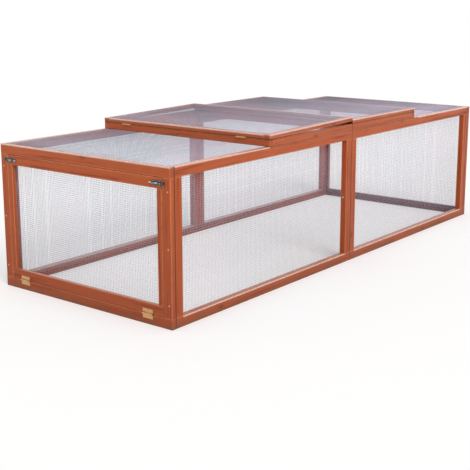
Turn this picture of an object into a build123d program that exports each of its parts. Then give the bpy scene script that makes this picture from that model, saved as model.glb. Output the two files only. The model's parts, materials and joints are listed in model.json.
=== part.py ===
from build123d import *
import math
import os

# Low outdoor rabbit run, open at the bottom, made of two equal timber modules that stand end to end.
# X runs along the run, Y across it and Z up. The origin is on the ground, at the middle of the whole run.
# Front is the end with the drop-down door (-X), back is the other end. Right is -Y, left is +Y.

os.makedirs("parts", exist_ok=True)

# Overall sizes and the timber of the side panels and end frames
panel_length = 1790.0
run_width = 1390.0
run_height = 900.0
side_depth = 42.0
end_depth = 32.0
rail_width = 60.0
stile_width = 60.0
arris = 1.5
cut_overrun = 5.0

# Galvanised mesh sheets
mesh_thickness = 1.6
mesh_layer_gap = 0.1
mesh_strand = 3.0
mesh_lap = 24.0
side_mesh_gap_counts = (24, 12)
end_mesh_gap_counts = (20, 13)
roof_mesh_gap_counts = (14, 20)
end_mesh_clearance = 3.0
roof_rebate_width = 12.0
roof_rebate_depth = 2.0
roof_mesh_play = 0.5
roof_mesh_tuck = 24.0

# Curb frames that carry the lids
curb_depth = 36.0
curb_height = 42.0

# Lids: each spans from the joint of the modules to its hinged edge
lid_spans = {"front": 936.0, "back": 872.0}
lid_rail_width = 45.0
lid_mesh_margin = 22.0
lid_thickness = 29.0
lid_seam = 0.6
lid_gap = 4.0
lid_seat_gap = 0.3
front_lid_tilt = 1.1

# Drop-down door in the front end frame
door_depth = 22.0
door_gap = 3.0
door_stile_width = 36.0

# Butt hinges
hinge_length = 76.0
leaf_width = 28.0
leaf_thickness = 2.0
leaf_gap = 0.2
leaf_recess_play = 0.4
knuckle_radius = 5.0
knuckle_play = 0.5
knuckle_gap = 0.3
knuckle_count = 3
pin_radius = 2.5
pin_clearance = 0.06
pin_overhang = 1.0
lid_hinge_inset = 212.0
door_hinge_inset = 180.0

# Barrel bolts at the top corners of the door
bolt_plate_length = 64.0
bolt_plate_height = 28.0
bolt_plate_thickness = 1.6
bolt_plate_setback = 3.0
bolt_sleeve_length = 12.0
bolt_sleeve_inset = 4.0
bolt_sleeve_radius = 6.5
bolt_rod_radius = 4.0
bolt_rod_clearance = 0.06
bolt_rod_setback = 1.5
bolt_travel = 22.0
bolt_rod_overlap = 3.0
bolt_knob_radius = 3.0
bolt_knob_reach = 15.0
bolt_knob_stop_gap = 1.0
keeper_plate_length = 18.0
keeper_setback = 2.0
keeper_clearance = 0.4

# Bolts and nuts that join the two modules
joint_bolt_radius = 4.0
joint_bolt_clearance = 0.4
joint_bolt_tail = 4.0
joint_bolt_head_radius = 7.5
joint_bolt_head_height = 5.3
joint_nut_radius = 7.5
joint_nut_height = 6.5
joint_nut_clearance = 0.06
joint_bolt_height_share = 0.5

# Worked out from the sizes above
half_width = run_width / 2
module_length = panel_length + end_depth
bolt_axis_height = bolt_plate_thickness + bolt_sleeve_radius
door_hardware_reach = bolt_axis_height + bolt_knob_reach
joint_x = door_hardware_reach / 2  # the door hardware stands proud of one end only
hinge_standoff = knuckle_radius + knuckle_play
seam_z = run_height + curb_height + lid_seam / 2
side_inner_y = half_width - side_depth
side_centre_y = half_width - side_depth / 2
joint_bolt_height = joint_bolt_height_share * run_height
front_face_x = joint_x - module_length
door_width = run_width - 2 * stile_width - 2 * door_gap
door_bottom = rail_width + door_gap
door_top = run_height - rail_width - door_gap

directions = {"front": -1, "back": 1}
sides = {"right": -1, "left": 1}
lid_tilts = {"front": front_lid_tilt, "back": 0.0}


def plane_x(x, y, z):
    """Section plane facing +X, with its own x along Y and its own y along Z."""
    return Plane(origin=(x, y, z), x_dir=(0, 1, 0), z_dir=(1, 0, 0))


def plane_y(x, y, z):
    """Section plane facing +Y, with its own x along X."""
    return Plane(origin=(x, y, z), x_dir=(1, 0, 0), z_dir=(0, 1, 0))


def plane_z(x, y, z):
    """Section plane facing +Z."""
    return Plane(origin=(x, y, z), x_dir=(1, 0, 0), z_dir=(0, 0, 1))


def placed(frame, plane):
    """A plane that is given in the directions of another frame, such as a tilted lid."""
    return Plane(frame.location * plane.location)


def finish(piece, name):
    """Names a finished piece and writes it."""
    piece.part.label = name
    export_step(piece.part, f"parts/{name}.step")


def batten(section_planes, across, up, length):
    """Planed battens of one section, one for each plane, with eased long edges."""
    with BuildPart() as timber:
        for section_plane in section_planes:
            with BuildSketch(section_plane) as section:
                Rectangle(across, up)
                chamfer(section.vertices(), arris)
            extrude(amount=length)
    return timber


def mesh_sheet(face_plane, length, width, gap_counts):
    """A flat sheet of welded mesh, centred on the plane and standing on it: a layer of strands each way."""
    columns, rows = gap_counts
    pitch_x = (length - mesh_strand) / columns
    pitch_y = (width - mesh_strand) / rows
    layer_thickness = (mesh_thickness - mesh_layer_gap) / 2
    with BuildPart() as sheet:
        with BuildSketch(face_plane):
            with GridLocations(pitch_x, 0, columns + 1, 1):
                Rectangle(mesh_strand, width)
        extrude(amount=layer_thickness)
        with BuildSketch(face_plane.offset(mesh_thickness - layer_thickness)):
            with GridLocations(0, pitch_y, 1, rows + 1):
                Rectangle(length, mesh_strand)
        extrude(amount=layer_thickness)
    return sheet


# Long side panels


def side_top_rail(direction, side, lid_span):
    """Top rail of a side panel, rebated along the fixed part of the roof for the roof mesh."""
    start_x = min(joint_x, joint_x + direction * panel_length)
    rebate_length = panel_length - lid_span + roof_mesh_tuck + roof_mesh_play
    rebate_x = joint_x + direction * (panel_length + cut_overrun - (rebate_length + cut_overrun) / 2)
    rebate_y = side * (side_inner_y + (roof_rebate_width - cut_overrun) / 2)
    rebate_z = run_height + (cut_overrun - roof_rebate_depth) / 2
    with BuildPart() as rail:
        with BuildSketch(plane_x(start_x, side * side_centre_y, run_height - rail_width / 2)) as section:
            Rectangle(side_depth, rail_width)
            chamfer(section.vertices(), arris)
        extrude(amount=panel_length)
        with Locations((rebate_x, rebate_y, rebate_z)):
            Box(
                rebate_length + cut_overrun,
                roof_rebate_width + cut_overrun,
                roof_rebate_depth + cut_overrun,
                mode=Mode.SUBTRACT,
            )
    return rail


def side_stiles(direction, side):
    """The two stiles of a side panel, the inner one bored for the bolt that joins the modules."""
    centres_x = (
        joint_x + direction * stile_width / 2,
        joint_x + direction * (panel_length - stile_width / 2),
    )
    bolt_plane = Plane(origin=(joint_x, side * side_centre_y, joint_bolt_height), z_dir=(-direction, 0, 0))
    with BuildPart() as stiles:
        for centre_x in centres_x:
            with BuildSketch(plane_z(centre_x, side * side_centre_y, rail_width)) as section:
                Rectangle(stile_width, side_depth)
                chamfer(section.vertices(), arris)
            extrude(amount=run_height - 2 * rail_width)
        with Locations(bolt_plane):
            Hole(joint_bolt_radius + joint_bolt_clearance, stile_width)
    return stiles


for module_name, direction in directions.items():
    for side_name, side in sides.items():
        panel_name = f"{module_name}_{side_name}"
        panel_start = min(joint_x, joint_x + direction * panel_length)
        panel_centre = joint_x + direction * panel_length / 2
        finish(side_top_rail(direction, side, lid_spans[module_name]), f"{panel_name}_top_rail")
        bottom_plane = plane_x(panel_start, side * side_centre_y, rail_width / 2)
        finish(batten([bottom_plane], side_depth, rail_width, panel_length), f"{panel_name}_bottom_rail")
        finish(side_stiles(direction, side), f"{panel_name}_stiles")
        side_mesh = mesh_sheet(
            Plane(
                origin=(panel_centre, side * side_inner_y, run_height / 2),
                x_dir=(1, 0, 0),
                z_dir=(0, -side, 0),
            ),
            panel_length - 2 * stile_width + 2 * mesh_lap,
            run_height - 2 * rail_width + 2 * mesh_lap,
            side_mesh_gap_counts,
        )
        finish(side_mesh, f"{panel_name}_mesh")


# End frames


def end_top_rail(direction):
    """Top rail of an end frame, rebated on its inner edge for the roof mesh."""
    centre_x = joint_x + direction * (panel_length + end_depth / 2)
    rebate_x = joint_x + direction * (panel_length + (roof_rebate_width - cut_overrun) / 2)
    rebate_z = run_height + (cut_overrun - roof_rebate_depth) / 2
    with BuildPart() as rail:
        with BuildSketch(plane_y(centre_x, -half_width, run_height - rail_width / 2)) as section:
            Rectangle(end_depth, rail_width)
            chamfer(section.vertices(), arris)
        extrude(amount=run_width)
        with Locations((rebate_x, 0, rebate_z)):
            Box(
                roof_rebate_width + cut_overrun,
                2 * (side_inner_y + roof_rebate_width),
                roof_rebate_depth + cut_overrun,
                mode=Mode.SUBTRACT,
            )
    return rail


for end_name, direction in (("door_frame", directions["front"]), ("back_end", directions["back"])):
    centre_x = joint_x + direction * (panel_length + end_depth / 2)
    finish(end_top_rail(direction), f"{end_name}_top_rail")
    bottom_plane = plane_y(centre_x, -half_width, rail_width / 2)
    finish(batten([bottom_plane], end_depth, rail_width, run_width), f"{end_name}_bottom_rail")
    stile_planes = [
        plane_z(centre_x, side * (half_width - stile_width / 2), rail_width) for side in sides.values()
    ]
    end_stiles = batten(stile_planes, end_depth, stile_width, run_height - 2 * rail_width)
    finish(end_stiles, f"{end_name}_stiles")

back_end_mesh = mesh_sheet(
    Plane(origin=(joint_x + panel_length, 0, run_height / 2), x_dir=(0, 1, 0), z_dir=(-1, 0, 0)),
    2 * (side_inner_y - end_mesh_clearance),
    run_height - 2 * rail_width + 2 * mesh_lap,
    end_mesh_gap_counts,
)
finish(back_end_mesh, "back_end_mesh")


# Fixed roof mesh over the outer part of each module

for module_name, direction in directions.items():
    outer_reach = panel_length + roof_rebate_width - roof_mesh_play
    inner_reach = lid_spans[module_name] - roof_mesh_tuck
    roof_mesh = mesh_sheet(
        plane_z(joint_x + direction * (outer_reach + inner_reach) / 2, 0, run_height - roof_rebate_depth),
        outer_reach - inner_reach,
        2 * (side_inner_y + roof_rebate_width - roof_mesh_play),
        roof_mesh_gap_counts,
    )
    finish(roof_mesh, f"{module_name}_roof_mesh")


# Hinge parts, in a frame with its origin on the pin's axis and its x pointing away from the pin


def hinge_leaves(frame, centres, plate_z, own_knuckles):
    """One leaf for each hinge centre: a plate, and the knuckles that it carries, bored for the pin."""
    knuckle_pitch = hinge_length / knuckle_count
    knuckle_length = knuckle_pitch - knuckle_gap
    plate_start = hinge_standoff
    with BuildPart() as leaves:
        for centre in centres:
            knuckle_starts = [
                centre - hinge_length / 2 + index * knuckle_pitch + knuckle_gap / 2 for index in own_knuckles
            ]
            with BuildSketch(placed(frame, plane_z(0, centre, plate_z))):
                with Locations(((leaf_width + plate_start) / 2, 0)):
                    Rectangle(leaf_width - plate_start, hinge_length)
                for start in knuckle_starts:
                    with Locations((plate_start / 2, start - centre + knuckle_length / 2)):
                        Rectangle(plate_start, knuckle_length)
            extrude(amount=leaf_thickness)
            for start in knuckle_starts:
                with BuildSketch(placed(frame, plane_y(0, start, 0))):
                    Circle(knuckle_radius)
                extrude(amount=knuckle_length)
            with BuildSketch(placed(frame, plane_y(0, centre - hinge_length / 2, 0))):
                Circle(pin_radius + pin_clearance)
            extrude(amount=hinge_length, mode=Mode.SUBTRACT)
    return leaves


def hinge_pins(frame, centres):
    """One pin for each hinge centre."""
    with BuildPart() as pins:
        for centre in centres:
            with BuildSketch(placed(frame, plane_y(0, centre - hinge_length / 2 - pin_overhang, 0))):
                Circle(pin_radius)
            extrude(amount=hinge_length + 2 * pin_overhang)
    return pins


# Raised curb frames and the lids that close them


def lid_frame(direction, lid_span, tilt):
    """Frame of a lid: origin on its hinge axis, x towards the joint of the modules, z up through the lid."""
    rise = math.sin(math.radians(tilt))
    run = math.cos(math.radians(tilt))
    axis_x = joint_x + direction * (lid_span + hinge_standoff)
    return Plane(
        origin=(axis_x, 0, seam_z),
        x_dir=(-direction * run, 0, rise),
        z_dir=(direction * rise, 0, run),
    )


def cut_leaf_recess(frame, centres, seat_z, into):
    """Cuts the seats of hinge leaves into the timber being built, from the seam towards the seat."""
    recess_reach = leaf_width + leaf_recess_play
    for centre in centres:
        seat = placed(frame, plane_z(recess_reach / 2, centre, seat_z))
        with BuildSketch(seat) as outline:
            Rectangle(recess_reach, hinge_length + 2 * leaf_recess_play)
        extrude(outline.sketch, amount=into * cut_overrun, mode=Mode.SUBTRACT)


def curb_hinge_rail(direction, lid_span, frame, centres):
    """Outer cross rail of a curb, with the fixed leaves let into its top edge."""
    centre_x = joint_x + direction * (lid_span - curb_depth / 2)
    with BuildPart() as rail:
        with BuildSketch(plane_y(centre_x, -half_width, run_height + curb_height / 2)) as section:
            Rectangle(curb_depth, curb_height)
            chamfer(section.vertices(), arris)
        extrude(amount=run_width)
        cut_leaf_recess(frame, centres, -leaf_gap / 2 - leaf_thickness, 1)
    return rail


def lid_hinge_rail(frame, centres):
    """Outer rail of a lid, with the moving leaves let into its underside."""
    centre_x = hinge_standoff + lid_rail_width / 2
    start_y = lid_rail_width - half_width
    with BuildPart() as rail:
        section_plane = placed(frame, plane_y(centre_x, start_y, lid_seam / 2 + lid_thickness / 2))
        with BuildSketch(section_plane) as section:
            Rectangle(lid_rail_width, lid_thickness)
            chamfer(section.vertices(), arris)
        extrude(amount=run_width - 2 * lid_rail_width)
        cut_leaf_recess(frame, centres, leaf_gap / 2 + leaf_thickness, -1)
    return rail


lid_hinge_centres = (lid_hinge_inset - half_width, half_width - lid_hinge_inset)

for module_name, direction in directions.items():
    lid_span = lid_spans[module_name]
    lid_length = lid_span - lid_gap / 2
    level_frame = lid_frame(direction, lid_span, 0.0)
    tilted_frame = lid_frame(direction, lid_span, lid_tilts[module_name])
    tilt_rate = math.tan(math.radians(lid_tilts[module_name]))

    # The joint rail is proud of the curb where its lid does not lie level, and the lid's free edge rests on it
    joint_rail_reach = hinge_standoff + lid_span - curb_depth
    joint_rail_rise = joint_rail_reach * tilt_rate + (lid_seam - lid_seat_gap if tilt_rate else 0.0)
    joint_rail_height = curb_height + joint_rail_rise

    hinge_rail = curb_hinge_rail(direction, lid_span, level_frame, lid_hinge_centres)
    finish(hinge_rail, f"{module_name}_curb_hinge_rail")
    curb_start = min(joint_x, joint_x + direction * (lid_span - curb_depth))
    curb_planes = [
        plane_x(curb_start, side * (half_width - curb_depth / 2), run_height + curb_height / 2)
        for side in sides.values()
    ]
    curb_sides = batten(curb_planes, curb_depth, curb_height, lid_span - curb_depth)
    finish(curb_sides, f"{module_name}_curb_side_rails")
    joint_rail_plane = plane_y(
        joint_x + direction * curb_depth / 2, curb_depth - half_width, run_height + joint_rail_height / 2
    )
    joint_rail = batten([joint_rail_plane], curb_depth, joint_rail_height, run_width - 2 * curb_depth)
    finish(joint_rail, f"{module_name}_curb_joint_rail")

    lid_centre_z = lid_seam / 2 + lid_thickness / 2
    lid_side_planes = [
        placed(tilted_frame, plane_x(hinge_standoff, side * (half_width - lid_rail_width / 2), lid_centre_z))
        for side in sides.values()
    ]
    lid_sides = batten(lid_side_planes, lid_rail_width, lid_thickness, lid_length)
    finish(lid_sides, f"{module_name}_lid_side_rails")
    finish(lid_hinge_rail(tilted_frame, lid_hinge_centres), f"{module_name}_lid_hinge_rail")
    free_rail_plane = placed(
        tilted_frame,
        plane_y(hinge_standoff + lid_length - lid_rail_width / 2, lid_rail_width - half_width, lid_centre_z),
    )
    free_rail = batten([free_rail_plane], lid_rail_width, lid_thickness, run_width - 2 * lid_rail_width)
    finish(free_rail, f"{module_name}_lid_free_rail")
    lid_mesh_plane = plane_z(hinge_standoff + lid_length / 2, 0, lid_seam / 2 + lid_thickness)
    lid_mesh = mesh_sheet(
        placed(tilted_frame, lid_mesh_plane),
        lid_length - 2 * lid_mesh_margin,
        run_width - 2 * lid_mesh_margin,
        roof_mesh_gap_counts,
    )
    finish(lid_mesh, f"{module_name}_lid_mesh")

    fixed_leaves = hinge_leaves(
        level_frame, lid_hinge_centres, -leaf_gap / 2 - leaf_thickness, range(0, knuckle_count, 2)
    )
    finish(fixed_leaves, f"{module_name}_lid_hinge_fixed_leaves")
    moving_leaves = hinge_leaves(tilted_frame, lid_hinge_centres, leaf_gap / 2, range(1, knuckle_count, 2))
    finish(moving_leaves, f"{module_name}_lid_hinge_moving_leaves")
    finish(hinge_pins(level_frame, lid_hinge_centres), f"{module_name}_lid_hinge_pins")


# Drop-down door and its hinges

door_centre_x = front_face_x + door_depth / 2
door_rail_planes = {
    "door_top_rail": plane_y(door_centre_x, -door_width / 2, door_top - rail_width / 2),
    "door_bottom_rail": plane_y(door_centre_x, -door_width / 2, door_bottom + rail_width / 2),
}
for rail_name, rail_plane in door_rail_planes.items():
    finish(batten([rail_plane], door_depth, rail_width, door_width), rail_name)

door_stile_planes = [
    plane_z(door_centre_x, side * (door_width - door_stile_width) / 2, door_bottom + rail_width)
    for side in sides.values()
]
door_stile_length = door_top - door_bottom - 2 * rail_width
finish(batten(door_stile_planes, door_depth, door_stile_width, door_stile_length), "door_stiles")

door_mesh = mesh_sheet(
    plane_x(front_face_x + door_depth, 0, (door_bottom + door_top) / 2),
    door_width - 2 * door_stile_width + 2 * mesh_lap,
    door_stile_length + 2 * mesh_lap,
    end_mesh_gap_counts,
)
finish(door_mesh, "door_mesh")

door_hinge_centres = (door_hinge_inset - half_width, half_width - door_hinge_inset)
door_axis = (front_face_x - hinge_standoff, 0, rail_width + door_gap / 2)
door_fixed_frame = Plane(origin=door_axis, x_dir=(0, 0, -1), z_dir=(1, 0, 0))
door_moving_frame = Plane(origin=door_axis, x_dir=(0, 0, 1), z_dir=(1, 0, 0))
door_leaf_z = hinge_standoff - leaf_thickness
door_fixed_leaves = hinge_leaves(
    door_fixed_frame, door_hinge_centres, door_leaf_z, range(0, knuckle_count, 2)
)
finish(door_fixed_leaves, "door_hinge_fixed_leaves")
door_moving_leaves = hinge_leaves(
    door_moving_frame, door_hinge_centres, door_leaf_z, range(1, knuckle_count, 2)
)
finish(door_moving_leaves, "door_hinge_moving_leaves")
finish(hinge_pins(door_fixed_frame, door_hinge_centres), "door_hinge_pins")


# Barrel bolts, in a frame with its origin on the door's edge, x towards the end stile and z out of the door


def bolt_frame(side):
    """Frame of one barrel bolt."""
    return Plane(
        origin=(front_face_x, side * door_width / 2, door_top - rail_width / 2),
        x_dir=(0, side, 0),
        z_dir=(-1, 0, 0),
    )


def bolt_part(frames, plate_start, plate_length, sleeve_starts, bore_radius):
    """A base plate with sleeves for the rod, one for each frame."""
    with BuildPart() as body:
        for frame in frames:
            with BuildSketch(placed(frame, plane_z(plate_start + plate_length / 2, 0, 0))):
                Rectangle(plate_length, bolt_plate_height)
            extrude(amount=bolt_plate_thickness)
            for sleeve_start in sleeve_starts:
                with BuildSketch(placed(frame, plane_x(sleeve_start, 0, bolt_axis_height))):
                    Circle(bolt_sleeve_radius)
                    with Locations((0, -bolt_sleeve_radius / 2)):
                        Rectangle(2 * bolt_sleeve_radius, bolt_sleeve_radius)
                extrude(amount=bolt_sleeve_length)
                with BuildSketch(placed(frame, plane_x(sleeve_start, 0, bolt_axis_height))):
                    Circle(bore_radius)
                extrude(amount=bolt_sleeve_length, mode=Mode.SUBTRACT)
    return body


bolt_plate_start = -bolt_plate_setback - bolt_plate_length
tail_sleeve_start = bolt_plate_start + bolt_sleeve_inset
tip_sleeve_start = -bolt_plate_setback - bolt_sleeve_inset - bolt_sleeve_length
bolt_frames = [bolt_frame(side) for side in sides.values()]
bolt_bodies = bolt_part(
    bolt_frames,
    bolt_plate_start,
    bolt_plate_length,
    (tail_sleeve_start, tip_sleeve_start),
    bolt_rod_radius + bolt_rod_clearance,
)
finish(bolt_bodies, "door_bolt_bodies")

keeper_start = door_gap + keeper_setback
keepers = bolt_part(
    bolt_frames,
    keeper_start,
    keeper_plate_length,
    (keeper_start + (keeper_plate_length - bolt_sleeve_length) / 2,),
    bolt_rod_radius + keeper_clearance,
)
finish(keepers, "door_bolt_keepers")


def bolt_rod(frame):
    """Rod of a barrel bolt, drawn back, with its knob beside the tail sleeve."""
    rod_start = tail_sleeve_start + bolt_rod_overlap - bolt_travel
    knob_x = tail_sleeve_start + bolt_sleeve_length + bolt_knob_stop_gap + bolt_knob_radius
    with BuildPart() as rod:
        with BuildSketch(placed(frame, plane_x(rod_start, 0, bolt_axis_height))):
            Circle(bolt_rod_radius)
        extrude(amount=-bolt_rod_setback - rod_start)
        with BuildSketch(placed(frame, plane_z(knob_x, 0, bolt_axis_height))):
            Circle(bolt_knob_radius)
        extrude(amount=bolt_knob_reach)
    return rod


for side_name, side in sides.items():
    finish(bolt_rod(bolt_frame(side)), f"{side_name}_door_bolt_rod")


# Bolts and nuts that join the two modules through their adjoining stiles

bolt_head_planes = [
    Plane(origin=(joint_x - stile_width, side * side_centre_y, joint_bolt_height), z_dir=(1, 0, 0))
    for side in sides.values()
]
with BuildPart() as joint_bolts:
    for head_plane in bolt_head_planes:
        with BuildSketch(head_plane):
            RegularPolygon(joint_bolt_head_radius, 6)
        extrude(amount=-joint_bolt_head_height)
        with BuildSketch(head_plane):
            Circle(joint_bolt_radius)
        extrude(amount=2 * stile_width + joint_nut_height + joint_bolt_tail)
finish(joint_bolts, "joint_bolts")

with BuildPart() as joint_nuts:
    for head_plane in bolt_head_planes:
        with BuildSketch(head_plane.offset(2 * stile_width)):
            RegularPolygon(joint_nut_radius, 6)
            Circle(joint_bolt_radius + joint_nut_clearance, mode=Mode.SUBTRACT)
        extrude(amount=joint_nut_height)
finish(joint_nuts, "joint_nuts")
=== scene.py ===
import functools
import json
import math
import random

import bmesh
import bpy
from mathutils import Matrix, Vector


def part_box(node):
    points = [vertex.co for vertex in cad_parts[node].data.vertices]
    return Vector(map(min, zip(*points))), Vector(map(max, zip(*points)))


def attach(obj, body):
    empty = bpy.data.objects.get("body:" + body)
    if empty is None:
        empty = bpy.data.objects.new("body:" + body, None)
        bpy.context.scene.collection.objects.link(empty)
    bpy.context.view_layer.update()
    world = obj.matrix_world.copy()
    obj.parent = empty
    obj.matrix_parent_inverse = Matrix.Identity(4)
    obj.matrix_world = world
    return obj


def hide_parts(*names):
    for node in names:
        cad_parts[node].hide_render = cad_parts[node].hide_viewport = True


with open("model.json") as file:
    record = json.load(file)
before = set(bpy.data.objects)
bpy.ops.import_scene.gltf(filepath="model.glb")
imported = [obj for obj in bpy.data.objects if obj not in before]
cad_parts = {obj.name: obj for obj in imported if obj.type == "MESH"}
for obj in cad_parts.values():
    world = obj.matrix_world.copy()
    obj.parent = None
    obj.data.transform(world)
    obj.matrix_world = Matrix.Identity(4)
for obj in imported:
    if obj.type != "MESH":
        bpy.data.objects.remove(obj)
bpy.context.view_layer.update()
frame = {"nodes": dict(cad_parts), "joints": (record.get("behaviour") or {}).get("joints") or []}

# Lengths are in metres. X leads from the door end to the back end, and the right side faces -Y
X, Y, Z = range(3)
FORWARD = Vector((1, 0, 0))
BACKWARD = -FORWARD
UPWARD = Vector((0, 0, 1))

# Wire cloth: two layers of wires, which together stay within a sheet's thickness
WIRE_RADIUS = 0.00062
WIRE_PITCH = 0.0127
WIRE_SIDES = 5
SHEET_THICKNESS = 0.0016
WIRE_LAYER = SHEET_THICKNESS / 2 - WIRE_RADIUS

# Staples, which bite into the sheet by a part of their radius
STAPLE_CROWN = 0.011
STAPLE_LEG = 0.0035
STAPLE_RADIUS = 0.0006
STAPLE_SIDES = 5
STAPLE_SPACING = 0.095
STAPLE_INSET = 0.012
STAPLE_WANDER = 0.008
STAPLE_SLANT = 0.35
STAPLE_BITE = 0.6
CROWN_OUT = SHEET_THICKNESS / 2 - STAPLE_RADIUS * STAPLE_BITE
LEG_OUT = CROWN_OUT - STAPLE_LEG

# Screw heads: the profile is (part of the radius, part of the height), and the recess in parts of the radius
SCREW_HEAD_HEIGHT = 0.0004
SCREW_HEAD_PROUD = 0.00002
SUNK = SCREW_HEAD_HEIGHT - SCREW_HEAD_PROUD
HEAD_PROFILE = ((1.0, 0.0), (0.96, 0.7), (0.86, 1.0))
RECESS_ARM_LENGTH = 0.62
RECESS_ARM_WIDTH = 0.13
RECESS_FLOOR = 0.55
RECESS_DEPTH = 0.35
SMALL_SCREW_RADIUS = 0.0031
TINY_SCREW_RADIUS = 0.0024
FRAME_SCREW_RADIUS = 0.0045

# Timbers, from the frame where it gives them: where they butt together, and where the curbs and the lids lie
DOOR_END_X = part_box("front_right_top_rail")[0][X]
JOINT_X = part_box("front_right_top_rail")[1][X]
BACK_END_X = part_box("back_right_top_rail")[1][X]
PANEL_LENGTH = BACK_END_X - JOINT_X
STILE_WIDTH = 0.060
FOOT_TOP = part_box("front_right_bottom_rail")[1][Z]
LID_GAP = 0.0006
CURB_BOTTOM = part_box("front_curb_side_rails")[0][Z]
LID_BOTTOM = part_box("front_curb_side_rails")[1][Z] + LID_GAP
CURB_REACH = JOINT_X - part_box("front_curb_hinge_rail")[0][X]


# Node trees. A mix node keeps a set of sockets for each kind of data, and these are the ones for colours

MIX_FACTOR, MIX_FIRST, MIX_SECOND, MIX_RESULT = 0, 6, 7, 2
LIMIT_BLUR = 0.001


class Nodes:
    """Short ways to add nodes to a tree. An input is a socket of another node or a plain value."""

    def __init__(self, tree):
        self.tree = tree

    def feed(self, socket, value):
        """Links a socket to another one, or gives it a plain value."""
        if isinstance(value, bpy.types.NodeSocket):
            self.tree.links.new(value, socket)
        elif socket.type == "RGBA":
            socket.default_value = (*value, 1.0)
        else:
            socket.default_value = value

    def add(self, kind, inputs, **settings):
        """A new node with its settings made and its inputs fed."""
        node = self.tree.nodes.new(kind)
        for setting, value in settings.items():
            setattr(node, setting, value)
        for name, value in inputs.items():
            self.feed(node.inputs[name], value)
        return node

    def surface(self, inputs):
        """The shader that the material shows."""
        shader = self.add("ShaderNodeBsdfPrincipled", inputs)
        self.add("ShaderNodeOutputMaterial", {"Surface": shader.outputs["BSDF"]})

    def object_space(self, scale=(1.0, 1.0, 1.0)):
        """Object coordinates, scaled along each axis."""
        coordinates = self.add("ShaderNodeTexCoord", {}).outputs["Object"]
        return self.add("ShaderNodeMapping", {"Vector": coordinates, "Scale": scale}).outputs["Vector"]

    def parts(self, vector):
        """The X, Y and Z parts of a vector."""
        node = self.add("ShaderNodeSeparateXYZ", {"Vector": vector})
        return [node.outputs[axis] for axis in "XYZ"]

    def noise(self, vector, scale, detail, roughness=0.55, distortion=0.0):
        """Noise from 0 to 1."""
        inputs = {
            "Vector": vector,
            "Scale": scale,
            "Detail": detail,
            "Roughness": roughness,
            "Distortion": distortion,
        }
        return self.add("ShaderNodeTexNoise", inputs).outputs["Fac"]

    def cells(self, vector, scale):
        """Irregular cells: the distance from a cell's centre, and a random number for each cell."""
        node = self.add("ShaderNodeTexVoronoi", {"Vector": vector, "Scale": scale})
        grey = self.add("ShaderNodeRGBToBW", {"Color": node.outputs["Color"]})
        return node.outputs["Distance"], grey.outputs["Val"]

    def spread(self, value, start, end, first, last):
        """The first number up to the start, the last one from the end on, and even steps between."""
        inputs = {"Value": value, "From Min": start, "From Max": end, "To Min": first, "To Max": last}
        return self.add("ShaderNodeMapRange", inputs).outputs["Result"]

    def rising(self, value, start, end, amount=1.0):
        """0 up to the start, and the amount from the end on."""
        return self.spread(value, start, end, 0.0, amount)

    def falling(self, value, start, end, amount=1.0):
        """The amount up to the start, and 0 from the end on."""
        return self.spread(value, start, end, amount, 0.0)

    def beyond(self, value, limit, blur=LIMIT_BLUR):
        """1 beyond a limit, else 0."""
        return self.rising(value, limit - blur, limit + blur)

    def within(self, value, limit, blur=LIMIT_BLUR):
        """1 within a limit, else 0."""
        return self.falling(value, limit - blur, limit + blur)

    def maths(self, operation, first, second=0.0):
        """A maths node's result."""
        return self.add("ShaderNodeMath", {0: first, 1: second}, operation=operation).outputs["Value"]

    def product(self, *values):
        """All values multiplied."""
        return functools.reduce(lambda first, second: self.maths("MULTIPLY", first, second), values)

    def largest(self, *values):
        """The largest of the values."""
        return functools.reduce(lambda first, second: self.maths("MAXIMUM", first, second), values)

    def absolute(self, value):
        """A number without its sign."""
        return self.maths("ABSOLUTE", value)

    def apart(self, first, second):
        """How far apart two numbers are."""
        return self.absolute(self.maths("SUBTRACT", first, second))

    def ramp(self, factor, stops):
        """A colour ramp with the given (place, colour) stops."""
        node = self.add("ShaderNodeValToRGB", {"Fac": factor})
        elements = node.color_ramp.elements
        for place, _ in stops[len(elements):]:
            elements.new(place)
        for element, (place, colour) in zip(elements, stops):
            element.position = place
            element.color = (*colour, 1.0)
        return node.outputs["Color"]

    def mixed(self, amount, first, second):
        """The first colour, with an amount of the second one over it."""
        inputs = {MIX_FACTOR: amount, MIX_FIRST: first, MIX_SECOND: second}
        return self.add("ShaderNodeMix", inputs, data_type="RGBA").outputs[MIX_RESULT]

    def bump(self, height, strength, distance):
        """A normal that follows a height."""
        inputs = {"Height": height, "Strength": strength, "Distance": distance}
        return self.add("ShaderNodeBump", inputs).outputs["Normal"]


def new_material(name):
    """A material and its empty node tree."""
    material = bpy.data.materials.new(name)
    material.use_nodes = True
    material.node_tree.nodes.clear()
    return material, Nodes(material.node_tree)


# Stained timber

WOOD_DARK = (0.280, 0.040, 0.008)
WOOD_MAIN = (0.470, 0.092, 0.021)
WOOD_LIGHT = (0.580, 0.128, 0.032)
WOOD_WORN_AND_LIT = (0.760, 0.260, 0.110)
WOOD_BLEACHED_AND_SKY_LIT = (0.680, 0.270, 0.145)
WOOD_HIGHLIGHT = (0.980, 0.810, 0.720)
WOOD_END = (0.360, 0.075, 0.024)
WOOD_LOW_DARK = (0.210, 0.034, 0.009)
WOOD_PAINTED_SKY_LIGHT = (0.500, 0.280, 0.210)
WOOD_DIRT = (0.120, 0.075, 0.040)
WOOD_KNOT = (0.120, 0.026, 0.012)
WOOD_SEAM_SHADE = (0.090, 0.014, 0.003)
STAIN_STOPS = ((0.36, WOOD_DARK), (0.47, WOOD_MAIN), (0.57, WOOD_MAIN), (0.70, WOOD_LIGHT))

# How many times longer the grain and the knots are along the timber than across it
GRAIN_STRETCH = 26.0
KNOT_STRETCH = 1.9

# Textures, as about how many patches lie in a metre
BAND_SCALE = 42.0
FIBRE_SCALE = 420.0
PATCH_SCALE = 3.2
KNOT_SCALE = 7.5
WEAR_SCALE = 26.0
SPLASH_SCALE = 18.0

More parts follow.
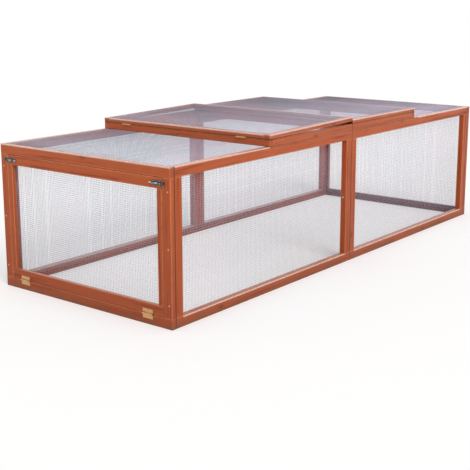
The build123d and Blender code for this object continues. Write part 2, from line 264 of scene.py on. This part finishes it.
# A normal's part along an axis, from where a face begins to count as facing that way to where it fully does
FACING = (0.80, 0.95)

# How far from an edge the rounded normal still leans
EDGE_RADIUS = 0.0140
EDGE_SAMPLES = 4

# Heights up to which the timber is soiled, up to which it darkens towards the ground, and above which it
# gets painted sky light
DIRT_HEIGHT = 0.055
DARKENING_HEIGHT = 0.85
SKY_LIGHT_HEIGHT = 0.90

# Heights of upper edges that are open to the sky and get a painted highlight: up to the first, between the
# next two, and above the last
FOOT_EDGE = FOOT_TOP + 0.006
ROOF_EDGE = (CURB_BOTTOM - 0.009, CURB_BOTTOM + 0.0004)
LID_EDGE = LID_BOTTOM + 0.013

# Level seams are (height, half the seam's width), and a butt seam fades between two distances from its
# joint. Both are dark joints deepened with painted shade
LEVEL_SEAMS = ((CURB_BOTTOM, 0.0026), (LID_BOTTOM, 0.0042))
LEVEL_SEAM_BLUR = 0.0016
LEVEL_SEAM_REACH = CURB_REACH + 0.002
BUTT_SEAM = (0.0030, 0.0055)
SEAM_SHADE_AMOUNT = 0.88

FIBRE_RELIEF = 0.6
BAND_RELIEF = 0.8


class Timber:
    """The material of timbers whose grain runs along one axis, painted in layers."""

    def __init__(self, name, along):
        self.material, self.nodes = new_material(name)
        self.along = along
        self.space = self.nodes.object_space()
        self.place_x, _, self.height = self.nodes.parts(self.space)
        self.from_joint = self.nodes.apart(self.place_x, JOINT_X)

    def stretched(self, stretch):
        """Object coordinates in which a texture is drawn out along the grain."""
        scale = [1.0, 1.0, 1.0]
        scale[self.along] = 1.0 / stretch
        return self.nodes.object_space(scale)

    def paint(self, amount, colour):
        """Lays an amount of a colour over what is there."""
        self.colour = self.nodes.mixed(amount, self.colour, colour)

    def stain(self):
        """The stain, which the grain's bands and fibres take up unevenly, in wide patches."""
        nodes = self.nodes
        grain_space = self.stretched(GRAIN_STRETCH)
        self.bands = nodes.noise(grain_space, BAND_SCALE, detail=5.0, roughness=0.6, distortion=0.6)
        self.fibres = nodes.noise(grain_space, FIBRE_SCALE, detail=3.0, roughness=0.7)
        self.patches = nodes.noise(self.space, PATCH_SCALE, detail=3.0)
        self.colour = nodes.ramp(self.bands, STAIN_STOPS)
        self.paint(nodes.rising(self.fibres, start=0.35, end=0.75, amount=0.40), WOOD_DARK)
        self.paint(nodes.rising(self.patches, start=0.40, end=0.75, amount=0.30), WOOD_LIGHT)

    def knots(self):
        """Oval knots in about half of the cells, each in a dark halo."""
        nodes = self.nodes
        distance, lot = nodes.cells(self.stretched(KNOT_STRETCH), KNOT_SCALE)
        kept = nodes.rising(lot, start=0.52, end=0.53)
        halo = nodes.falling(distance, start=0.08, end=0.19, amount=0.45)
        core = nodes.falling(distance, start=0.055, end=0.085, amount=0.75)
        self.paint(nodes.product(kept, halo), WOOD_DARK)
        self.paint(nodes.product(kept, core), WOOD_KNOT)

    def find_edges(self):
        """Compares the true normal with one rounded over the edges, which leans where an edge is near."""
        nodes = self.nodes
        face = nodes.add("ShaderNodeNewGeometry", {}).outputs["True Normal"]
        bevel = nodes.add("ShaderNodeBevel", {"Radius": EDGE_RADIUS}, samples=EDGE_SAMPLES)
        rounded = bevel.outputs["Normal"]
        likeness = nodes.add("ShaderNodeVectorMath", {0: rounded, 1: face}, operation="DOT_PRODUCT")
        near_edge = nodes.falling(likeness.outputs["Value"], start=0.785, end=0.945)
        self.upward = nodes.parts(face)[Z]
        self.facing = [nodes.absolute(part) for part in nodes.parts(face)]
        slanted = nodes.falling(nodes.largest(*self.facing), start=0.75, end=0.90)
        self.arris = nodes.largest(slanted, near_edge)

        leaning = nodes.parts(rounded)
        below_edge = nodes.rising(nodes.maths("SUBTRACT", leaning[Z], self.upward), start=0.03, end=0.20)
        on_top = nodes.rising(self.upward, *FACING, amount=0.85)
        beside_end = nodes.falling(nodes.absolute(leaning[self.along]), start=0.05, end=0.20)
        self.top_edge = nodes.largest(below_edge, nodes.product(near_edge, on_top, beside_end))

    def wear_and_highlight_edges(self):
        """Edges that don't face down are worn lighter, and the lighter colour is also a painted highlight
        along them.
        """
        nodes = self.nodes
        rubbed = nodes.noise(self.space, WEAR_SCALE, detail=3.0)
        self.wear_and_highlight = nodes.product(
            nodes.spread(rubbed, start=0.30, end=0.60, first=0.45, last=0.90),
            nodes.rising(self.upward, start=-0.30, end=-0.10),
        )
        # Worn edges, lighter also as a painted highlight; edges that face down are left out, as if in shade
        self.paint(nodes.product(self.arris, self.wear_and_highlight), WOOD_WORN_AND_LIT)

    def weather(self):
        """Tops are bleached by the sun and made paler with a painted sky reflection, the timber darkens
        towards the ground, and curbs and lids are lightened with painted sky light.
        """
        nodes = self.nodes
        bleached_and_sky_lit = nodes.product(
            nodes.rising(self.upward, *FACING),
            nodes.spread(self.patches, start=0.3, end=0.7, first=0.75, last=0.45),
        )
        # Tops bleached by the sun, and paler still with a painted sky reflection
        self.paint(bleached_and_sky_lit, WOOD_BLEACHED_AND_SKY_LIT)
        # Darker towards the ground
        self.paint(nodes.falling(self.height, 0.0, DARKENING_HEIGHT, amount=0.38), WOOD_LOW_DARK)
        # Painted sky light on curbs and lids
        self.paint(nodes.rising(self.height, DARKENING_HEIGHT, SKY_LIGHT_HEIGHT, amount=0.06), WOOD_PAINTED_SKY_LIGHT)

    def paint_edge_highlights(self):
        """A painted highlight on the upper edges of bottom rails, roof and lids, where they are open to the
        sky.
        """
        nodes = self.nodes
        on_foot = nodes.product(
            nodes.within(self.height, FOOT_EDGE, blur=0.002),
            nodes.beyond(self.from_joint, STILE_WIDTH),
            nodes.within(self.from_joint, PANEL_LENGTH - STILE_WIDTH),
        )
        on_roof = nodes.product(
            nodes.beyond(self.height, ROOF_EDGE[0]),
            nodes.within(self.height, ROOF_EDGE[1], blur=0.0002),
            nodes.beyond(self.from_joint, CURB_REACH),
        )
        on_lid = nodes.beyond(self.height, LID_EDGE)
        open_to_sky = nodes.largest(on_foot, on_roof, on_lid)
        highlight_strength = nodes.spread(self.wear_and_highlight, start=0.4, end=0.9, first=0.85, last=1.0)
        # Painted highlight along the upper edges
        self.paint(nodes.product(self.top_edge, highlight_strength, open_to_sky), WOOD_HIGHLIGHT)

    def darken_ends_and_shade_seams(self):
        """Cut ends drink more stain. Seams are dark joints deepened with painted shade, and the edges of
        undersides get painted shade.
        """
        nodes = self.nodes
        self.paint(nodes.rising(self.facing[self.along], *FACING, amount=0.70), WOOD_END)
        # Painted shade on the edges of undersides
        seam_shade = nodes.product(self.arris, nodes.falling(self.upward, start=-0.60, end=-0.50))
        on_side = nodes.falling(self.upward, start=0.30, end=0.60)
        at_curb = nodes.within(self.from_joint, LEVEL_SEAM_REACH)
        for level, half_width in LEVEL_SEAMS:
            seam = nodes.falling(nodes.apart(self.height, level), half_width, half_width + LEVEL_SEAM_BLUR)
            seam_shade = nodes.largest(seam_shade, nodes.product(seam, on_side, at_curb))
        for joint in (DOOR_END_X, JOINT_X, BACK_END_X):
            seam_shade = nodes.largest(seam_shade, nodes.falling(nodes.apart(self.place_x, joint), *BUTT_SEAM))
        # Seams and underside edges darkened with painted shade
        self.paint(nodes.product(seam_shade, SEAM_SHADE_AMOUNT), WOOD_SEAM_SHADE)

    def soil(self):
        """Splashes of earth at the foot."""
        nodes = self.nodes
        splashes = nodes.noise(self.space, SPLASH_SCALE, detail=5.0)
        splashes = nodes.spread(splashes, start=0.35, end=0.70, first=0.15, last=1.0)
        low = nodes.falling(self.height, 0.0, DIRT_HEIGHT, amount=0.85)
        self.paint(nodes.product(low, splashes), WOOD_DIRT)

    def finish(self):
        """The shader, with a coat that shines most on tops and a relief of bands and fibres."""
        nodes = self.nodes
        relief = nodes.maths(
            "ADD",
            nodes.product(self.fibres, FIBRE_RELIEF),
            nodes.product(self.bands, BAND_RELIEF),
        )
        nodes.surface({
            "Base Color": self.colour,
            "Roughness": nodes.spread(self.bands, start=0.30, end=0.75, first=0.58, last=0.46),
            "Specular IOR Level": 0.15,
            "Coat Weight": nodes.spread(self.upward, *FACING, first=0.22, last=0.95),
            "Coat Roughness": 0.22,
            "Normal": nodes.bump(relief, strength=0.45, distance=0.0006),
        })


def stained_wood(name, along):
    """Planed softwood under a red-brown stain, with its grain along one axis."""
    timber = Timber(name, along)
    timber.stain()
    timber.knots()
    timber.find_edges()
    timber.wear_and_highlight_edges()
    timber.weather()
    timber.paint_edge_highlights()
    timber.darken_ends_and_shade_seams()
    timber.soil()
    timber.finish()
    return timber.material


# Metals

# The wires' zinc is darkened and tinted mauve and teal in wide patches, as painted shade of the run's inside
# seen through the cloth
WIRE_ZINC_AND_SHADE_COLOURS = ((0.56, 0.45, 0.56), (0.34, 0.46, 0.54))
PLATE_COLOURS = ((0.66, 0.67, 0.68), (0.34, 0.35, 0.35))
BOLT_COLOURS = ((0.15, 0.16, 0.16), (0.06, 0.06, 0.06))
WIRE_SHADE_PATCH_SCALE = 2.6
PLATE_SPANGLES = 240.0
ROUGHENING = 0.18
FILM_STOPS = (
    (0.32, (0.46, 0.36, 0.15)),
    (0.48, (0.62, 0.38, 0.17)),
    (0.62, (0.66, 0.32, 0.17)),
    (0.75, (0.46, 0.25, 0.10)),
)
FILM_STAIN = (0.28, 0.16, 0.08)


def zinc(name, colours, roughness, spangle_scale):
    """Zinc-coated metal in a bright and a dull colour, with its crystal patches and weathering."""
    bright, dull = colours
    material, nodes = new_material(name)
    space = nodes.object_space()
    _, spangle = nodes.cells(space, spangle_scale)
    weather = nodes.noise(space, scale=40.0, detail=5.0)
    colour = nodes.mixed(nodes.rising(spangle, start=0.2, end=0.8, amount=0.5), bright, dull)
    colour = nodes.mixed(nodes.rising(weather, start=0.42, end=0.66, amount=0.65), colour, dull)
    nodes.surface({
        "Base Color": colour,
        "Roughness": nodes.spread(weather, start=0.3, end=0.7, first=roughness, last=roughness + ROUGHENING),
        "Metallic": 0.85,
        "Normal": nodes.bump(weather, strength=0.25, distance=0.0002),
    })
    return material


def yellow_zinc(name):
    """Yellow-passivated steel, with faint green and pink in the film."""
    material, nodes = new_material(name)
    space = nodes.object_space()
    film = nodes.noise(space, scale=55.0, detail=4.0, distortion=0.8)
    weather = nodes.noise(space, scale=120.0, detail=5.0)
    stained = nodes.rising(weather, start=0.50, end=0.70, amount=0.55)
    nodes.surface({
        "Base Color": nodes.mixed(stained, nodes.ramp(film, FILM_STOPS), FILM_STAIN),
        "Roughness": nodes.spread(weather, start=0.3, end=0.7, first=0.30, last=0.50),
        "Metallic": 0.9,
        "Normal": nodes.bump(weather, strength=0.2, distance=0.0002),
    })
    return material


# Materials on the CAD nodes

WOOD_ALONG = [stained_wood(f"stained_wood_along_{axis}", index) for index, axis in enumerate("xyz")]
# Zinc wire whose dark mauve and teal patches are painted shade
WIRE_ZINC = zinc("galvanised_wire", WIRE_ZINC_AND_SHADE_COLOURS, roughness=0.42, spangle_scale=WIRE_SHADE_PATCH_SCALE)
PLATE_ZINC = zinc("zinc_plate", PLATE_COLOURS, roughness=0.28, spangle_scale=PLATE_SPANGLES)
BOLT_STEEL = zinc("weathered_bolt_steel", BOLT_COLOURS, roughness=0.34, spangle_scale=PLATE_SPANGLES)
HINGE_METAL = yellow_zinc("yellow_zinc")

ACROSS_THE_ENDS = (
    "door_frame_top_rail",
    "door_frame_bottom_rail",
    "door_top_rail",
    "door_bottom_rail",
    "back_end_top_rail",
    "back_end_bottom_rail",
)
ACROSS_THE_ROOF = ("_hinge_rail", "_joint_rail", "_free_rail")


def material_of(name):
    """The material of a CAD node, by its name."""
    if name.endswith("_mesh"):
        return WIRE_ZINC
    if "_hinge_fixed" in name or "_hinge_moving" in name or name.endswith("_pins"):
        return HINGE_METAL
    if name in ("door_bolt_bodies", "door_bolt_keepers"):
        return BOLT_STEEL
    if "bolt" in name or "nut" in name:
        return PLATE_ZINC
    if name.endswith("_stiles"):
        return WOOD_ALONG[Z]
    if name in ACROSS_THE_ENDS or name.endswith(ACROSS_THE_ROOF):
        return WOOD_ALONG[Y]
    return WOOD_ALONG[X]


for node_name, node in frame["nodes"].items():
    node.data.materials.clear()
    node.data.materials.append(material_of(node_name))


# Small parts in mesh code


def bridge(mesh, lower, upper, smooth=False):
    """Faces between two rings of as many points."""
    for index, point in enumerate(lower):
        following = (index + 1) % len(lower)
        face = mesh.faces.new((point, lower[following], upper[following], upper[index]))
        face.smooth = smooth


def tube(mesh, points, radius, sides):
    """A thin round wire along the given points, with closed ends."""
    rings = []
    across = None
    for index, point in enumerate(points):
        before = points[max(index - 1, 0)]
        after = points[min(index + 1, len(points) - 1)]
        heading = (after - before).normalized()
        across = heading.orthogonal() if across is None else across - heading * across.dot(heading)
        across.normalize()
        beside = heading.cross(across)
        ring = []
        for step in range(sides):
            angle = math.tau * step / sides
            outward = math.cos(angle) * across + math.sin(angle) * beside
            ring.append(mesh.verts.new(point + radius * outward))
        rings.append(ring)
    for lower, upper in zip(rings, rings[1:]):
        bridge(mesh, lower, upper, smooth=True)
    mesh.faces.new(rings[0][::-1])
    mesh.faces.new(rings[-1])


def finished(mesh, name, body, material):
    """Turns the mesh into an object that rides on a body."""
    data = bpy.data.meshes.new(name)
    mesh.to_mesh(data)
    mesh.free()
    data.materials.append(material)
    piece = bpy.data.objects.new(name, data)
    bpy.context.scene.collection.objects.link(piece)
    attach(piece, body)
    return piece


class Sheet:
    """Where a mesh sheet lies, which may rise by a tilt along X, and the side that its staples are on."""

    def __init__(self, node, outward_axis, staple_side, tilt=0.0):
        low, high = (Vector(corner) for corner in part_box(node))
        size = high - low
        size.x = (size.x - SHEET_THICKNESS * math.sin(tilt)) / math.cos(tilt)
        turn = Matrix.Rotation(-tilt, 3, "Y")
        directions = [turn @ direction for direction in Matrix.Identity(3)]
        in_plane = [axis for axis in range(3) if axis != outward_axis]
        self.node = node
        self.middle = (low + high) / 2
        self.first, self.second = (directions[axis] for axis in in_plane)
        self.first_length, self.second_length = (size[axis] for axis in in_plane)
        self.outward = directions[outward_axis] * staple_side

    def point(self, along_first, along_second, out):
        """A point measured from the sheet's middle."""
        return self.middle + self.first * along_first + self.second * along_second + self.outward * out


def lid_tilt(node):
    """How far a sheet rises along X, as an angle, from its box."""
    low, high = (Vector(corner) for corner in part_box(node))
    return math.atan2(high.z - low.z - SHEET_THICKNESS, high.x - low.x)


def wire_cloth(sheet, body):
    """Welded wire in place of a sheet, with the wires of its two directions on opposite faces."""
    mesh = bmesh.new()
    for length, reach, layer, along_first in (
        (sheet.first_length, sheet.second_length / 2, WIRE_LAYER, False),
        (sheet.second_length, sheet.first_length / 2, -WIRE_LAYER, True),
    ):
        span = length - 2 * WIRE_RADIUS
        count = round(span / WIRE_PITCH)
        for index in range(count + 1):
            place = (index / count - 0.5) * span
            if along_first:
                ends = [sheet.point(end, place, layer) for end in (-reach, reach)]
            else:
                ends = [sheet.point(place, end, layer) for end in (-reach, reach)]
            tube(mesh, ends, WIRE_RADIUS, WIRE_SIDES)
    piece = finished(mesh, f"{sheet.node}_wires", body, WIRE_ZINC)
    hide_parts(sheet.node)


def staples(sheet, body):
    """Wire staples that hold a sheet's edges to the timber behind it."""
    mesh = bmesh.new()
    shake = random.Random(sheet.node)
    half_first = sheet.first_length / 2 - STAPLE_INSET
    half_second = sheet.second_length / 2 - STAPLE_INSET
    spots = []
    for half_run, edge, runs_along_first in (
        (half_first, half_second, True),
        (half_first, -half_second, True),
        (half_second, half_first, False),
        (half_second, -half_first, False),
    ):
        count = round(2 * half_run / STAPLE_SPACING)
        for index in range(count):
            along = ((index + 0.5) / count * 2 - 1) * half_run + shake.uniform(-STAPLE_WANDER, STAPLE_WANDER)
            spots.append((along, edge, 0.0) if runs_along_first else (edge, along, math.pi / 2))
    for first, second, angle in spots:
        angle += shake.uniform(-STAPLE_SLANT, STAPLE_SLANT)
        reach_first = STAPLE_CROWN / 2 * math.cos(angle)
        reach_second = STAPLE_CROWN / 2 * math.sin(angle)
        points = [
            sheet.point(first + end * reach_first, second + end * reach_second, out)
            for end, out in ((-1, LEG_OUT), (-1, CROWN_OUT), (1, CROWN_OUT), (1, LEG_OUT))
        ]
        tube(mesh, points, STAPLE_RADIUS, STAPLE_SIDES)
    finished(mesh, f"{sheet.node}_staples", body, PLATE_ZINC)


def cross_outline(arm_length, arm_width):
    """The corners of a cross recess, anticlockwise, with a point between each two."""
    corners = []
    for quarter in range(4):
        turn = Matrix.Rotation(quarter * math.pi / 2, 2)
        for corner in ((arm_length, -arm_width), (arm_length, arm_width), (arm_width, arm_width)):
            corners.append(turn @ Vector(corner))
    outline = []
    for corner, following in zip(corners, corners[1:] + corners[:1]):
        outline += [corner, (corner + following) / 2]
    return outline


def screw_head(mesh, place, outward, radius, turn):
    """A countersunk head with a cross recess, seated on a surface."""
    outward = outward.normalized()
    unturned = outward.orthogonal().normalized()
    square = outward.cross(unturned)
    across = unturned * math.cos(turn) + square * math.sin(turn)
    beside = square * math.cos(turn) - unturned * math.sin(turn)

    def ring(points, part, height):
        level = place + outward * height
        return [mesh.verts.new(level + (across * point.x + beside * point.y) * part) for point in points]

    outline = cross_outline(radius * RECESS_ARM_LENGTH, radius * RECESS_ARM_WIDTH)
    circle = [point.normalized() * radius for point in outline]
    rings = [ring(circle, part, SCREW_HEAD_HEIGHT * rise) for part, rise in HEAD_PROFILE]
    rings.append(ring(outline, 1.0, SCREW_HEAD_HEIGHT))
    rings.append(ring(outline, RECESS_FLOOR, SCREW_HEAD_HEIGHT - radius * RECESS_DEPTH))
    for lower, upper in zip(rings, rings[1:]):
        bridge(mesh, lower, upper)
    mesh.faces.new(rings[-1])


def screws(name, body, material, seats):
    """One piece of screw heads: each seat is (place, outward direction, radius)."""
    mesh = bmesh.new()
    shake = random.Random(name)
    for place, outward, radius in seats:
        screw_head(mesh, place, outward, radius, shake.uniform(0.0, math.pi / 2))
    finished(mesh, name, body, material)


# Wire cloth and staples on every mesh sheet

sheets = [(Sheet("back_end_mesh", X, -1), "run_frame")]
for module in ("front", "back"):
    sheets.append((Sheet(f"{module}_right_mesh", Y, 1), "run_frame"))
    sheets.append((Sheet(f"{module}_left_mesh", Y, -1), "run_frame"))
    sheets.append((Sheet(f"{module}_roof_mesh", Z, 1), "run_frame"))
sheets.append((Sheet("front_lid_mesh", Z, 1, tilt=lid_tilt("front_lid_mesh")), "front_lid"))
sheets.append((Sheet("back_lid_mesh", Z, 1), "back_lid"))
sheets.append((Sheet("door_mesh", X, 1), "end_door"))
for sheet, body in sheets:
    wire_cloth(sheet, body)
    staples(sheet, body)


# Screws that hold the end frames, at parts of the height. The back end's are sunk, to stay in the CAD box

FRAME_SCREW_SHARES = (0.15, 0.50, 0.85)

rail_low, rail_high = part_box("front_left_top_rail")
screw_y = (rail_low[Y] + rail_high[Y]) / 2
door_end_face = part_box("door_frame_stiles")[0][X]
back_end_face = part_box("back_end_stiles")[1][X] - SUNK
frame_seats = [
    (Vector((face_x, side * screw_y, share * rail_high[Z])), outward, FRAME_SCREW_RADIUS)
    for face_x, outward in ((door_end_face, BACKWARD), (back_end_face, FORWARD))
    for side in (-1, 1)
    for share in FRAME_SCREW_SHARES
]
screws("end_frame_screws", "run_frame", PLATE_ZINC, frame_seats)


# Screws in the hinge leaves, three in each. A lid's leaves face each other, a little off the hinge's axis

HINGE_LENGTH = 0.076
LEAF_THICKNESS = 0.0020
LEAF_FACE = 0.0001
LEAF_SCREW_STEPS = (-0.024, 0.0, 0.024)
LEAF_SCREW_REACH = 0.01675

# How deep the heads on the door end's plates are let in
SEATING = FORWARD * (SCREW_HEAD_HEIGHT / 4)


def joint_place(name):
    """The place of a joint."""
    return next(Vector(joint["pos_m"]) for joint in frame["joints"] if joint["name"] == name)


def leaf_seats(node, root, along, outward):
    """Seats on the two leaves of a node, which run along a direction from their root and face outward."""
    low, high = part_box(node)
    place = root + along * LEAF_SCREW_REACH
    return [
        (Vector((place.x, middle_y + step, place.z)), outward, SMALL_SCREW_RADIUS)
        for middle_y in (low[Y] + HINGE_LENGTH / 2, high[Y] - HINGE_LENGTH / 2)
        for step in LEAF_SCREW_STEPS
    ]


def leaf_screws(node, body, root, along, outward):
    """The screws of a node's two leaves."""
    screws(f"{node}_screws", body, HINGE_METAL, leaf_seats(node, root, along, outward))


for module, facing, tilt in (("front", FORWARD, lid_tilt("front_lid_mesh")), ("back", BACKWARD, 0.0)):
    hinge = f"{module}_lid_hinge"
    axis = joint_place(hinge)
    lid_along = facing * math.cos(tilt) + UPWARD * math.sin(tilt)
    lid_upward = UPWARD * math.cos(tilt) - facing * math.sin(tilt)
    fixed_root = axis - UPWARD * (LEAF_FACE + SUNK)
    moving_root = axis + lid_upward * (LEAF_FACE + SUNK)
    leaf_screws(f"{hinge}_fixed_leaves", "run_frame", fixed_root, facing, UPWARD)
    leaf_screws(f"{hinge}_moving_leaves", f"{module}_lid", moving_root, lid_along, -lid_upward)

door_root = Vector((door_end_face - LEAF_THICKNESS, 0, joint_place("end_door_hinge").z)) + SEATING
leaf_screws("door_hinge_fixed_leaves", "run_frame", door_root, -UPWARD, BACKWARD)
leaf_screws("door_hinge_moving_leaves", "end_door", door_root, UPWARD, BACKWARD)


# Screws in the door bolts' plates, in pairs above and below the rod

BOLT_PLATE_THICKNESS = 0.0016
BOLT_PLATE_LENGTH = 0.064
KEEPER_PLATE_LENGTH = 0.018
PLATE_SCREW_RISE = 0.0105
PLATE_SCREW_INSET = 0.010

for node, body, insets in (
    ("door_bolt_bodies", "end_door", (BOLT_PLATE_LENGTH - PLATE_SCREW_INSET, PLATE_SCREW_INSET)),
    ("door_bolt_keepers", "run_frame", (KEEPER_PLATE_LENGTH / 2,)),
):
    low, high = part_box(node)
    plate_x = door_end_face - BOLT_PLATE_THICKNESS
    rod_z = (low[Z] + high[Z]) / 2
    plate_seats = [
        (Vector((plate_x, side * (high[Y] - inset), rod_z + rise)) + SEATING, BACKWARD, TINY_SCREW_RADIUS)
        for side in (-1, 1)
        for inset in insets
        for rise in (-PLATE_SCREW_RISE, PLATE_SCREW_RISE)
    ]
    screws(f"{node}_screws", body, PLATE_ZINC, plate_seats)


# Studio: a soft lamp and a plain world light the object, and floor and world are white to the eye

WHITE = (1.0, 1.0, 1.0)
WORLD_LIGHT = 0.62
FLOOR_COLOUR = (0.80, 0.80, 0.80)
FLOOR_GLOW = 0.25
FLOOR_HALF_SIZE = 60.0
KEY_SOURCE = Vector((-2.6, -5.3, 5.0))
KEY_STRENGTH = 1.6
KEY_SPREAD = 35.0
KEY_COLOUR = (1.0, 0.99, 0.97)


def seen_directly(nodes):
    """1 on rays from the camera, and on those that a glossy or clear surface passes on, else 0."""
    path = nodes.add("ShaderNodeLightPath", {})
    return nodes.largest(*(path.outputs[f"Is {kind} Ray"] for kind in ("Camera", "Glossy", "Transmission")))


floor_mesh = bmesh.new()
bmesh.ops.create_grid(floor_mesh, x_segments=2, y_segments=2, size=FLOOR_HALF_SIZE)
floor_data = bpy.data.meshes.new("floor")
floor_mesh.to_mesh(floor_data)
floor_mesh.free()
floor = bpy.data.objects.new("floor", floor_data)
bpy.context.scene.collection.objects.link(floor)
floor_material, floor_nodes = new_material("pale_floor")
floor_nodes.surface({
    "Base Color": FLOOR_COLOUR,
    "Roughness": 0.9,
    "Specular IOR Level": 0.0,
    "Emission Color": WHITE,
    "Emission Strength": floor_nodes.product(seen_directly(floor_nodes), FLOOR_GLOW),
})
floor_data.materials.append(floor_material)

world = bpy.data.worlds.new("studio")
world.use_nodes = True
bpy.context.scene.world = world
world_nodes = Nodes(world.node_tree)
background = world.node_tree.nodes["Background"]
world_strength = world_nodes.spread(seen_directly(world_nodes), 0.0, 1.0, first=WORLD_LIGHT, last=1.0)
world_nodes.feed(background.inputs["Color"], WHITE)
world_nodes.feed(background.inputs["Strength"], world_strength)

key_light = bpy.data.lights.new("key", "SUN")
key_light.energy = KEY_STRENGTH
key_light.angle = math.radians(KEY_SPREAD)
key_light.color = KEY_COLOUR
key_lamp = bpy.data.objects.new("key", key_light)
key_lamp.rotation_euler = (-KEY_SOURCE).to_track_quat("-Z", "Y").to_euler()
bpy.context.scene.collection.objects.link(key_lamp)


# Camera, as the photograph was taken: angles in degrees, lens and sensor in millimetres, rows in pixels

CAMERA_PLACE = (-5.511, -4.037, 1.774)
CAMERA_HEADING = 38.17
CAMERA_DOWN = 11.90
CAMERA_ROLL = 0.06
CAMERA_LENS = 73.8
CAMERA_SENSOR = 36.0
CAMERA_CLIP_END = 100.0
OPTICAL_ROW = 200.0
PHOTO_ROWS = 470.0

camera_data = bpy.data.cameras.new("camera")
camera_data.lens = CAMERA_LENS
camera_data.sensor_width = CAMERA_SENSOR
camera_data.shift_y = (OPTICAL_ROW - PHOTO_ROWS / 2) / PHOTO_ROWS
camera_data.clip_end = CAMERA_CLIP_END
camera = bpy.data.objects.new("camera", camera_data)
heading, down = math.radians(CAMERA_HEADING), math.radians(CAMERA_DOWN)
view = Vector((math.cos(heading) * math.cos(down), math.sin(heading) * math.cos(down), -math.sin(down)))
camera.matrix_world = (
    Matrix.Translation(CAMERA_PLACE)
    @ view.to_track_quat("-Z", "Y").to_matrix().to_4x4()
    @ Matrix.Rotation(math.radians(-CAMERA_ROLL), 4, "Z")
)
bpy.context.scene.collection.objects.link(camera)
bpy.context.scene.camera = camera

bpy.context.scene.view_settings.view_transform = "Standard"
